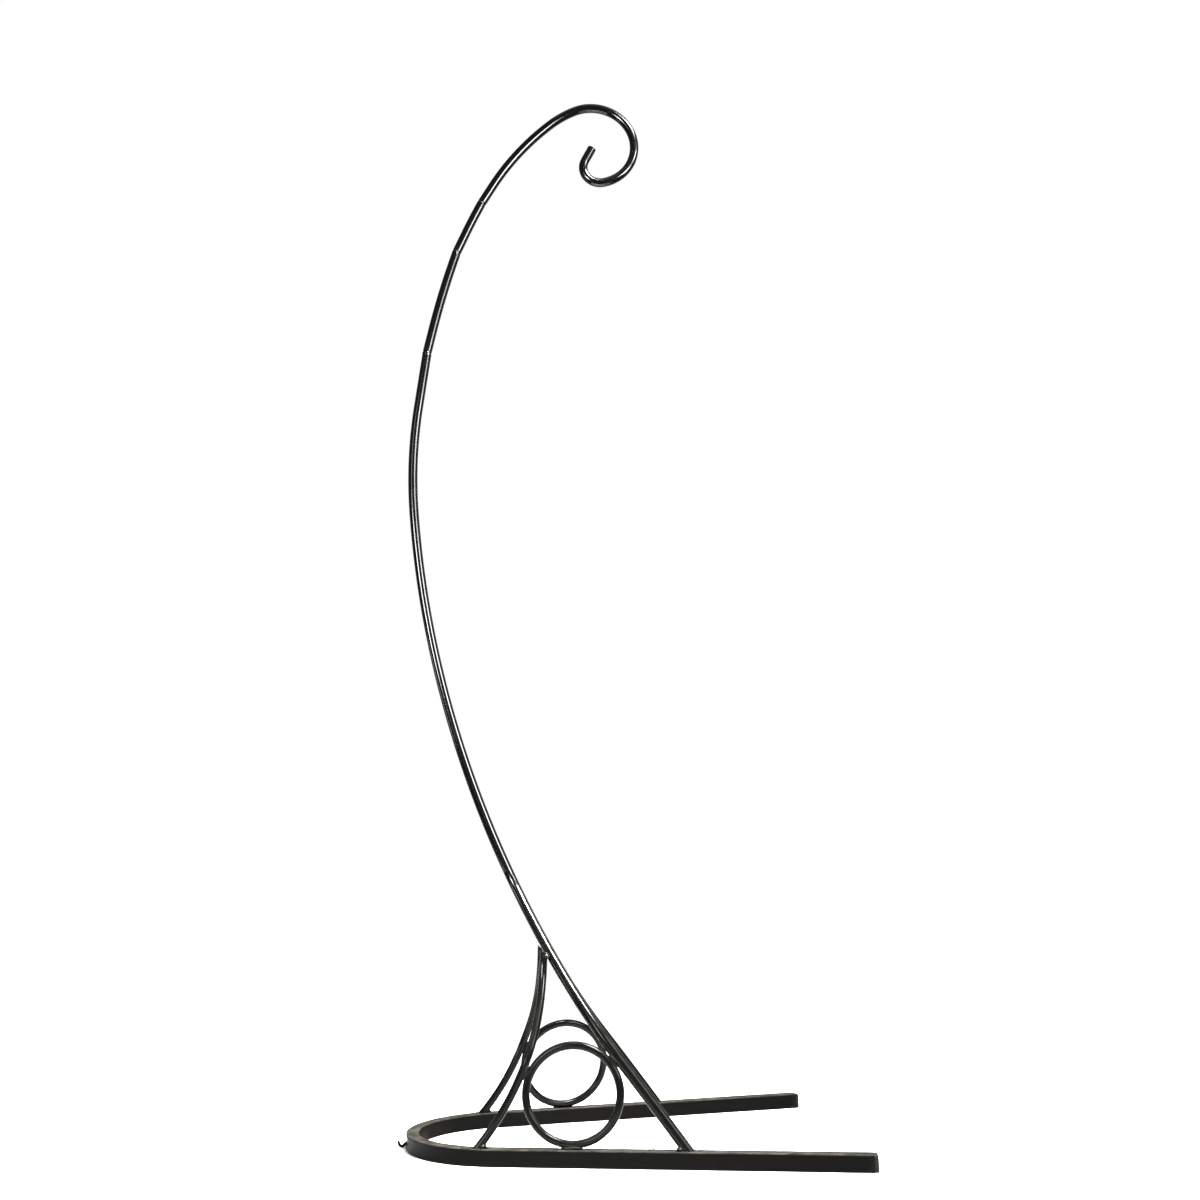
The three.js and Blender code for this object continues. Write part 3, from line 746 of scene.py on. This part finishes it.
def build_welds(end, side):
    """The beads at a leg's three feet, at its ring's two sides and at its left strut's top, each in its notch."""
    ring_raised, foot_raised = 0.6 * MM, 0.9 * MM
    ring_foot_out, ring_out, top_out, top_down = 2.2 * MM, 2 * MM, 3.5 * MM, 2 * MM
    leg = Leg(side)
    ring_foot = leg.ring_foot.copy()
    ring_foot.z = sizes().base_side + ring_raised
    foot_centre = ring_foot - leg.inward * ring_foot_out
    build_long_bead(f"bead_ring_foot_{end}", "ring_foot", foot_centre, leg.along, [f"weld_ring_foot_{end}"], 1)
    left = left_path(leg)
    for index, (hand, path) in enumerate({"left": left, "right": right_path(leg)}.items()):
        centre = path.foot + path.ring_side * (path.radius / path.foot_direction.z) + UP * foot_raised
        nodes = [f"weld_{hand}_foot_{end}"]
        build_long_bead(f"bead_{hand}_foot_{end}", "foot", centre, leg.inward, nodes, index, path.radius)
        notch = path.ring_point.lerp(path.ring_rod_point, 0.5) - leg.across * ring_out
        nodes = [f"weld_{hand}_ring_{end}"]
        build_long_bead(f"bead_{hand}_ring_{end}", "ring", notch, path.ring_direction, nodes, 5 + index)
    notch = left.top.lerp(left.tube_point, 0.45) - leg.inward * top_out - UP * top_down
    nodes = [f"weld_left_top_{end}"]
    build_long_bead(f"bead_left_top_{end}", "left_top", notch, left.tube_direction, nodes, 8)


def build_fork_welds():
    """The bead in the fork of the two right struts, and one up each side of the groove between them."""
    path = right_path(Leg(SIDES["front"]))
    fork, along = crossing(path.rising, lambda point: -abs(point.y), -path.radius - 0.001)
    along = Vector((along.x, 0, along.z)).normalized()
    build_long_bead("bead_fork", "fork", Vector((fork.x, 0, fork.z)), along, ["weld_right_top"], 3)
    aside = Vector((along.z, 0, -along.x))
    steps, scales, scale_depth = 40, 18, 0.15
    thickest, tip_share, sunk = 1.3 * MM, 0.35, 0.4 * MM
    for name, hand in (("upper", -1), ("lower", 1)):
        rings = []
        for i in range(steps + 1):
            share = i / steps
            apart = path.radius * (0.98 - 0.6 * share)
            point, ahead = crossing(path.rising, lambda point: -abs(point.y), -apart)
            groove = math.sqrt(path.radius**2 - apart**2)
            centre = Vector((point.x, 0, point.z)) + aside * hand * (groove - sunk)
            scale = 1 - scale_depth * (1 - abs(math.sin(math.pi * share * scales)))
            radius = thickest * scale * (tip_share + (1 - tip_share) * min(1, 6 * share, 3 * (1 - share)))
            rings.append(ringed(station(centre, Vector((ahead.x, 0, ahead.z)), Vector((0, 1, 0))), radius))
        bm = bmesh.new()
        round_sweep(bm, rings, 20)
        make_piece(f"bead_groove_{name}", bm, "stand", weld_paint())


# ---------------------------------------------------------------- materials


def new_group(name, numbers, results):
    """A node group that takes a vector and the given numbers, with its input and output nodes."""
    group = bpy.data.node_groups.new(name, "ShaderNodeTree")
    group.interface.new_socket(name="Vector", in_out="INPUT", socket_type="NodeSocketVector")
    for number, default in numbers.items():
        made = group.interface.new_socket(name=number, in_out="INPUT", socket_type="NodeSocketFloat")
        made.default_value = default
    for result in results:
        group.interface.new_socket(name=result, in_out="OUTPUT", socket_type="NodeSocketFloat")
    return group, group.nodes.new("NodeGroupInput"), group.nodes.new("NodeGroupOutput")


def node(tree, kind, **values):
    made = tree.nodes.new(kind)
    for name, value in values.items():
        if name in made.inputs:
            made.inputs[name].default_value = value
        else:
            setattr(made, name, value)
    return made


def maths(tree, operation, first, second=None):
    made = tree.nodes.new("ShaderNodeMath")
    made.operation = operation
    for index, value in enumerate((first, second)):
        if isinstance(value, bpy.types.NodeSocket):
            tree.links.new(value, made.inputs[index])
        elif value is not None:
            made.inputs[index].default_value = value
    return made.outputs[0]


def stretched(tree, value, low, high, to_low=0.0, to_high=1.0):
    """Maps a range of values to another, clamped."""
    made = tree.nodes.new("ShaderNodeMapRange")
    tree.links.new(value, made.inputs["Value"])
    made.inputs["From Min"].default_value = low
    made.inputs["From Max"].default_value = high
    made.inputs["To Min"].default_value = to_low
    made.inputs["To Max"].default_value = to_high
    return made.outputs["Result"]


def along_axis(tree, vector, axis):
    made = tree.nodes.new("ShaderNodeSeparateXYZ")
    tree.links.new(vector, made.inputs[0])
    return made.outputs[axis]


def noise_value(tree, vector, scale, detail=2.0, roughness=0.5):
    made = node(tree, "ShaderNodeTexNoise", Scale=scale, Detail=detail, Roughness=roughness)
    tree.links.new(vector, made.inputs["Vector"])
    return made.outputs["Fac"]


def paint_surface_group():
    """Orange peel, slow waves and tiny nibs of sprayed paint: a height and a gloss variation."""
    name = "Paint Surface"
    if name in bpy.data.node_groups:
        return bpy.data.node_groups[name]
    group, enter, leave = new_group(name, {"Peel Scale": 650.0, "Nibs": 0.5}, ("Height", "Gloss Change"))
    peel = node(group, "ShaderNodeTexNoise", Detail=1.5)
    group.links.new(enter.outputs["Vector"], peel.inputs["Vector"])
    group.links.new(enter.outputs["Peel Scale"], peel.inputs["Scale"])
    waves = noise_value(group, enter.outputs["Vector"], 70.0)
    nib_noise = noise_value(group, enter.outputs["Vector"], 420.0, 0.0)
    nibs = maths(group, "MULTIPLY", stretched(group, nib_noise, 0.71, 0.8), enter.outputs["Nibs"])
    height = maths(group, "ADD", maths(group, "MULTIPLY", peel.outputs["Fac"], 0.4), waves)
    height = maths(group, "ADD", height, nibs)
    patches = noise_value(group, enter.outputs["Vector"], 28.0, 4.0, 0.6)
    group.links.new(height, leave.inputs["Height"])
    group.links.new(stretched(group, patches, 0.35, 0.7), leave.inputs["Gloss Change"])
    return group


def dust_and_top_light_group():
    """Dust on faces that look up, partly real dust and partly painted light that makes those top faces lighter: a
    mask.
    """
    name = "Settled Dust"
    if name in bpy.data.node_groups:
        return bpy.data.node_groups[name]
    group, enter, leave = new_group(name, {"Amount": 0.3}, ("Mask",))
    geometry = group.nodes.new("ShaderNodeNewGeometry")
    facing = stretched(group, along_axis(group, geometry.outputs["Normal"], "Z"), 0.35, 0.98)
    patches = stretched(group, noise_value(group, enter.outputs["Vector"], 55.0, 5.0, 0.65), 0.35, 0.75)
    specks = stretched(group, noise_value(group, enter.outputs["Vector"], 900.0, 1.0), 0.6, 0.75)
    spread = maths(group, "ADD", maths(group, "MULTIPLY", patches, 0.7), maths(group, "MULTIPLY", specks, 0.5))
    mask = maths(group, "MULTIPLY", maths(group, "MULTIPLY", spread, facing), enter.outputs["Amount"])
    group.links.new(mask, leave.inputs["Mask"])
    return group


def rubbed_edge_group():
    """Paint rubbed thin along the crests of a shape: a mask."""
    name = "Rubbed Edges"
    if name in bpy.data.node_groups:
        return bpy.data.node_groups[name]
    group, enter, leave = new_group(name, {"Amount": 0.5}, ("Mask",))
    geometry = group.nodes.new("ShaderNodeNewGeometry")
    crest = stretched(group, geometry.outputs["Pointiness"], 0.52, 0.6)
    broken = stretched(group, noise_value(group, enter.outputs["Vector"], 190.0, 4.0, 0.7), 0.45, 0.62)
    mask = maths(group, "MULTIPLY", maths(group, "MULTIPLY", crest, broken), enter.outputs["Amount"])
    group.links.new(mask, leave.inputs["Mask"])
    return group


def mixed(tree, factor, first, second):
    made = tree.nodes.new("ShaderNodeMix")
    made.data_type = "RGBA"
    tree.links.new(factor, made.inputs["Factor"])
    for socket_name, value in (("A", first), ("B", second)):
        target = [s for s in made.inputs if s.name == socket_name and s.type == "RGBA"][0]
        if isinstance(value, bpy.types.NodeSocket):
            tree.links.new(value, target)
        else:
            target.default_value = (*value, 1)
    return [s for s in made.outputs if s.type == "RGBA"][0]


# Painted shade near the floor: the paint's sheen is weakened there, so the lower parts reflect less light. Heights in
# metres between which its sheen fades, and what is left of it.
SHEEN_SHADED_BELOW = (0.17, 0.27)
SHADED_SHEEN_LEFT = 0.13

# How much a face is turned away where its sheen starts to fade and where it has faded, and how rough dust is.
SHEEN_FADES = (0.3, 0.9)
DUST_ROUGHNESS = 0.5

TUBE_LOOK = {
    "peel_scale": 620.0,
    "nibs": 0.25,
    "dust_and_top_light": 0.14,
    "rubbed": 0.35,
    "gloss_change": 0.06,
    "bump": 0.05,
    "depth": 0.0004,
    "specular": 0.5,
    "grazing": 0.03,
}
BASE_LOOK = {**TUBE_LOOK, "dust_and_top_light": 0.5, "rubbed": 0.5, "bump": 0.35, "specular": 0.12, "gloss_change": 0.16}
WELD_LOOK = {**TUBE_LOOK, "peel_scale": 900.0, "nibs": 0.9, "bump": 0.5, "rubbed": 0.7, "dust_and_top_light": 0.3}
CAP_ROUGHNESS = 0.48
CAP_LOOK = {**TUBE_LOOK, "peel_scale": 1500.0, "nibs": 0.0, "bump": 0.3, "specular": 0.15, "dust_and_top_light": 0.2}


def paint_material(name, paint, roughness, look):
    """Black paint with its surface, wear, dust that is partly painted light on faces that look up, and painted shade
    near the floor. look holds the strengths that differ between pieces.
    """
    if name in bpy.data.materials:
        return bpy.data.materials[name]
    material = bpy.data.materials.new(name)
    material.use_nodes = True
    tree = material.node_tree
    shader = tree.nodes["Principled BSDF"]
    place = tree.nodes.new("ShaderNodeTexCoord").outputs["Object"]
    surface = node(tree, "ShaderNodeGroup", node_tree=paint_surface_group(), Nibs=look["nibs"])
    surface.inputs["Peel Scale"].default_value = look["peel_scale"]
    # Mask of dust on faces that look up, which also paints light on those top faces.
    dust_and_top_light = node(tree, "ShaderNodeGroup", node_tree=dust_and_top_light_group(), Amount=look["dust_and_top_light"])
    rubbed = node(tree, "ShaderNodeGroup", node_tree=rubbed_edge_group(), Amount=look["rubbed"])
    for group in (surface, dust_and_top_light, rubbed):
        tree.links.new(place, group.inputs["Vector"])
    f = finish()
    base = mixed(tree, rubbed.outputs["Mask"], tuple(paint), tuple(f.worn))
    # Dust and painted top light: a lighter colour where the mask is.
    base = mixed(tree, dust_and_top_light.outputs["Mask"], base, tuple(f.dust_and_top_light))
    tree.links.new(base, shader.inputs["Base Color"])
    rough = maths(tree, "MULTIPLY_ADD", surface.outputs["Gloss Change"], look["gloss_change"])
    rough.node.inputs[2].default_value = roughness
    rough = maths(tree, "ADD", rough, maths(tree, "MULTIPLY", dust_and_top_light.outputs["Mask"], DUST_ROUGHNESS))
    tree.links.new(rough, shader.inputs["Roughness"])
    bump = node(tree, "ShaderNodeBump", Strength=look["bump"], Distance=look["depth"])
    tree.links.new(surface.outputs["Height"], bump.inputs["Height"])
    tree.links.new(bump.outputs["Normal"], shader.inputs["Normal"])
    facing = tree.nodes.new("ShaderNodeLayerWeight").outputs["Facing"]
    sheen = stretched(tree, facing, *SHEEN_FADES, look["specular"], look["grazing"])
    # Painted shade: less sheen towards the floor.
    floor_shade = stretched(tree, along_axis(tree, place, "Z"), *SHEEN_SHADED_BELOW, SHADED_SHEEN_LEFT, 1.0)
    tree.links.new(maths(tree, "MULTIPLY", sheen, floor_shade), shader.inputs["Specular IOR Level"])
    return material


def tube_paint():
    return paint_material("Black tube paint", finish().paint, finish().tube_roughness, TUBE_LOOK)


def base_paint():
    return paint_material("Black base paint", finish().paint, finish().base_roughness, BASE_LOOK)


def weld_paint():
    return paint_material("Black weld paint", finish().paint, finish().tube_roughness, WELD_LOOK)


def cap_plastic():
    return paint_material("Black cap plastic", finish().plastic, CAP_ROUGHNESS, CAP_LOOK)


# ---------------------------------------------------------------- stage


# The world: plain light from all round, and how bright glossy rays see the room on the camera's side.
PLAIN_LIGHT = 0.22
ROOM_ROUND_CAMERA = 0.05
BACKDROP_EDGE = (0.25, 0.75)

# The sheet under the stand, and how far out its lift rises from the near value to the far one.
SHEET_MIDDLE = (0, 1.2, 0)
SHEET_HALF = (0.95, 1.85)
LIFT_RISES = (0.45, 1.4)
FLOOR_LIFT = 0.12
FLOOR_LIFT_FAR = 0.72

# Softboxes: name, place, aim, width and height, power, spread in degrees.
LAMPS = (
    ("Window right", (1.37, -1.44, 1.28), (-0.3, 0, 0.8), (0.9, 0.6), 65, 180),
    ("Window right high", (1.36, -1.0, 1.95), (-0.2, 0, 0.3), (0.6, 0.5), 28, 180),
    ("Overhead", (0.27, -0.45, 1.68), (-0.12, -0.07, 0.25), (0.45, 0.55), 26, 60),
    ("Window right top", (1.335, -1.472, 1.72), (-0.3, 0, 1.0), (0.8, 0.25), 7, 180),
    ("Window left", (-1.36, -1.93, 1.05), (-0.3, 0, 0.75), (0.6, 0.66), 60, 180),
    ("Window left top", (-1.3, -1.905, 1.65), (-0.3, 0, 1.0), (0.35, 0.6), 4, 180),
    ("Strip left", (-2.0, -0.1, 0.4), (-0.15, 0, 0.2), (0.3, 0.5), 3, 180),
    ("High right", (1.1, -0.7, 2.0), (0, -0.1, 0.15), (0.5, 0.5), 3, 180),
)
# The sun: name, direction, how wide it looks in degrees, strength.
SKY = ("Sky", (-0.25, 0.2, -1), 60, 0.5)


def seen_by_rays(tree, *kinds):
    """1 for rays of the given kinds, else 0."""
    rays = tree.nodes.new("ShaderNodeLightPath")
    seen = rays.outputs[kinds[0]]
    for kind in kinds[1:]:
        seen = maths(tree, "MAXIMUM", seen, rays.outputs[kind])
    return seen


def build_world():
    """Plain light all round, and a white backdrop for the rays that see it.

    The room beside and behind the camera is dim to glossy rays, as it is in the photograph's reflections.
    """
    world = bpy.data.worlds.new("Studio")
    bpy.context.scene.world = world
    world.use_nodes = True
    tree = world.node_tree
    tree.nodes.clear()
    aim = tree.nodes.new("ShaderNodeTexCoord").outputs["Generated"]
    backdrop = stretched(tree, along_axis(tree, aim, "Y"), *BACKDROP_EDGE, ROOM_ROUND_CAMERA, 1.0)
    camera = seen_by_rays(tree, "Is Camera Ray", "Is Transmission Ray")
    white_strength = maths(tree, "MAXIMUM", backdrop, camera)
    plain = node(tree, "ShaderNodeBackground", Color=(1, 1, 1, 1), Strength=PLAIN_LIGHT)
    white = node(tree, "ShaderNodeBackground", Color=(1, 1, 1, 1))
    tree.links.new(white_strength, white.inputs["Strength"])
    mix = tree.nodes.new("ShaderNodeMixShader")
    tree.links.new(seen_by_rays(tree, "Is Camera Ray", "Is Glossy Ray", "Is Transmission Ray"), mix.inputs[0])
    tree.links.new(plain.outputs[0], mix.inputs[1])
    tree.links.new(white.outputs[0], mix.inputs[2])
    out = tree.nodes.new("ShaderNodeOutputWorld")
    tree.links.new(mix.outputs[0], out.inputs["Surface"])


def build_floor():
    """A pale sheet that keeps the stand's shadow. What the eye sees of it is lifted to white, more so further out."""
    sheet = Matrix.Translation(SHEET_MIDDLE) @ Matrix.Diagonal((*SHEET_HALF, 1, 1))
    bm = bmesh.new()
    bmesh.ops.create_grid(bm, x_segments=8, y_segments=16, size=1, matrix=sheet)
    mesh = bpy.data.meshes.new("floor")
    bm.to_mesh(mesh)
    bm.free()
    floor = bpy.data.objects.new("floor", mesh)
    bpy.context.scene.collection.objects.link(floor)
    material = bpy.data.materials.new("White floor")
    material.use_nodes = True
    tree = material.node_tree
    shader = tree.nodes["Principled BSDF"]
    shader.inputs["Base Color"].default_value = (*finish().floor, 1)
    shader.inputs["Roughness"].default_value = 1.0
    shader.inputs["Specular IOR Level"].default_value = 0.0
    shader.inputs["Emission Color"].default_value = (1, 1, 1, 1)
    seen = seen_by_rays(tree, "Is Camera Ray", "Is Glossy Ray", "Is Transmission Ray")
    distance = node(tree, "ShaderNodeVectorMath", operation="LENGTH")
    tree.links.new(tree.nodes.new("ShaderNodeTexCoord").outputs["Object"], distance.inputs[0])
    lift = stretched(tree, distance.outputs["Value"], *LIFT_RISES, FLOOR_LIFT, FLOOR_LIFT_FAR)
    tree.links.new(maths(tree, "MULTIPLY", seen, lift), shader.inputs["Emission Strength"])
    mesh.materials.append(material)


def add_sun(name, direction, spread, strength):
    """A very soft sun, for the floor's even light and the stand's faint shadow."""
    data = bpy.data.lights.new(name, "SUN")
    data.angle = math.radians(spread)
    data.energy = strength
    light = bpy.data.objects.new(name, data)
    light.rotation_euler = Vector(direction).to_track_quat("-Z", "Y").to_euler()
    bpy.context.scene.collection.objects.link(light)


def add_area_light(name, place, aim, size, power, spread):
    """A softbox whose light fans out over the given degrees."""
    data = bpy.data.lights.new(name, "AREA")
    data.spread = math.radians(spread)
    data.shape = "RECTANGLE"
    data.size, data.size_y = size
    data.energy = power
    light = bpy.data.objects.new(name, data)
    light.location = place
    light.rotation_euler = (Vector(aim) - Vector(place)).to_track_quat("-Z", "Y").to_euler()
    bpy.context.scene.collection.objects.link(light)


# The camera that took the photograph.
CAMERA_FROM_BEND = Vector((0.000908, -1.8349, 0.33055))
CAMERA_TURN = (math.radians(102.213), math.radians(0.8918), math.radians(-3.592))
CAMERA_LENS = 39.426
SENSOR = 36


def build_camera():
    data = bpy.data.cameras.new("Photo view")
    data.lens = CAMERA_LENS
    data.sensor_width = SENSOR
    data.clip_start = 0.05
    data.clip_end = 50
    camera = bpy.data.objects.new("Photo view", data)
    camera.location = bend_centre() + CAMERA_FROM_BEND
    camera.rotation_euler = CAMERA_TURN
    bpy.context.scene.collection.objects.link(camera)
    bpy.context.scene.camera = camera


# ---------------------------------------------------------------- operators


class StandOperator:
    bl_options = {"REGISTER", "UNDO"}

    def execute(self, context):
        self.build()
        return {"FINISHED"}


class STAND_OT_base(StandOperator, bpy.types.Operator):
    """Bends the square base tube and plugs its ends"""

    bl_idname = "plant_stand.base"
    bl_label = "Base"

    def build(self):
        build_base_tube()
        build_bend_tab()
        for end, side in SIDES.items():
            build_end_cap(end, side)


class STAND_OT_rings(StandOperator, bpy.types.Operator):
    """Stands the two rings on the legs"""

    bl_idname = "plant_stand.rings"
    bl_label = "Rings"

    def build(self):
        for end, side in SIDES.items():
            build_ring(end, side)


class STAND_OT_struts(StandOperator, bpy.types.Operator):
    """Bends the two left struts and the back right one. The front right one is one tube with the mast"""

    bl_idname = "plant_stand.struts"
    bl_label = "Struts"

    def build(self):
        for end, side in SIDES.items():
            build_left_strut(end, side)
        build_back_right_strut()


class STAND_OT_mast(StandOperator, bpy.types.Operator):
    """Builds the front right strut and the mast's three lower pieces, with their necks"""

    bl_idname = "plant_stand.mast"
    bl_label = "Mast"

    def build(self):
        build_mast_piece("lower", "stand", ["right_strut_front", "mast_lower"])
        build_mast_piece("middle", "middle_piece", ["mast_middle"])
        build_mast_piece("upper", "upper_piece", ["mast_upper"])


class STAND_OT_hook(StandOperator, bpy.types.Operator):
    """Rolls the scroll hook"""

    bl_idname = "plant_stand.hook"
    bl_label = "Hook"

    def build(self):
        build_hook()


class STAND_OT_welds(StandOperator, bpy.types.Operator):
    """Lays the weld beads and their spatter"""

    bl_idname = "plant_stand.welds"
    bl_label = "Welds"

    def build(self):
        for end, side in SIDES.items():
            build_welds(end, side)
            build_spatter(end, side)
        build_fork_welds()


class STAND_OT_stage(StandOperator, bpy.types.Operator):
    """Sets up the floor, the light and the camera"""

    bl_idname = "plant_stand.stage"
    bl_label = "Stage"

    def build(self):
        bpy.context.scene.view_settings.view_transform = "Standard"
        build_world()
        build_floor()
        add_sun(*SKY)
        for lamp in LAMPS:
            add_area_light(*lamp)
        build_camera()


class STAND_PT_panel(bpy.types.Panel):
    """Lists the steps that build the stand"""

    bl_label = "Plant Stand"
    bl_idname = "STAND_PT_panel"
    bl_space_type = "VIEW_3D"
    bl_region_type = "UI"
    bl_category = "Plant Stand"

    def draw(self, context):
        for operator in OPERATORS:
            self.layout.operator(operator.bl_idname)
        for group in (context.scene.stand_sizes, context.scene.stand_finish):
            box = self.layout.box()
            for name in group.__annotations__:
                box.prop(group, name)


OPERATORS = (
    STAND_OT_base,
    STAND_OT_rings,
    STAND_OT_struts,
    STAND_OT_mast,
    STAND_OT_hook,
    STAND_OT_welds,
    STAND_OT_stage,
)
CLASSES = (StandSizes, StandFinish, *OPERATORS, STAND_PT_panel)


def register():
    for made in CLASSES:
        bpy.utils.register_class(made)
    bpy.types.Scene.stand_sizes = PointerProperty(type=StandSizes)
    bpy.types.Scene.stand_finish = PointerProperty(type=StandFinish)


def unregister():
    del bpy.types.Scene.stand_finish
    del bpy.types.Scene.stand_sizes
    for made in reversed(CLASSES):
        bpy.utils.unregister_class(made)


def main():
    register()
    bpy.ops.plant_stand.base()
    bpy.ops.plant_stand.rings()
    bpy.ops.plant_stand.struts()
    bpy.ops.plant_stand.mast()
    bpy.ops.plant_stand.hook()
    bpy.ops.plant_stand.welds()
    bpy.ops.plant_stand.stage()


if __name__ == "__main__":
    main()
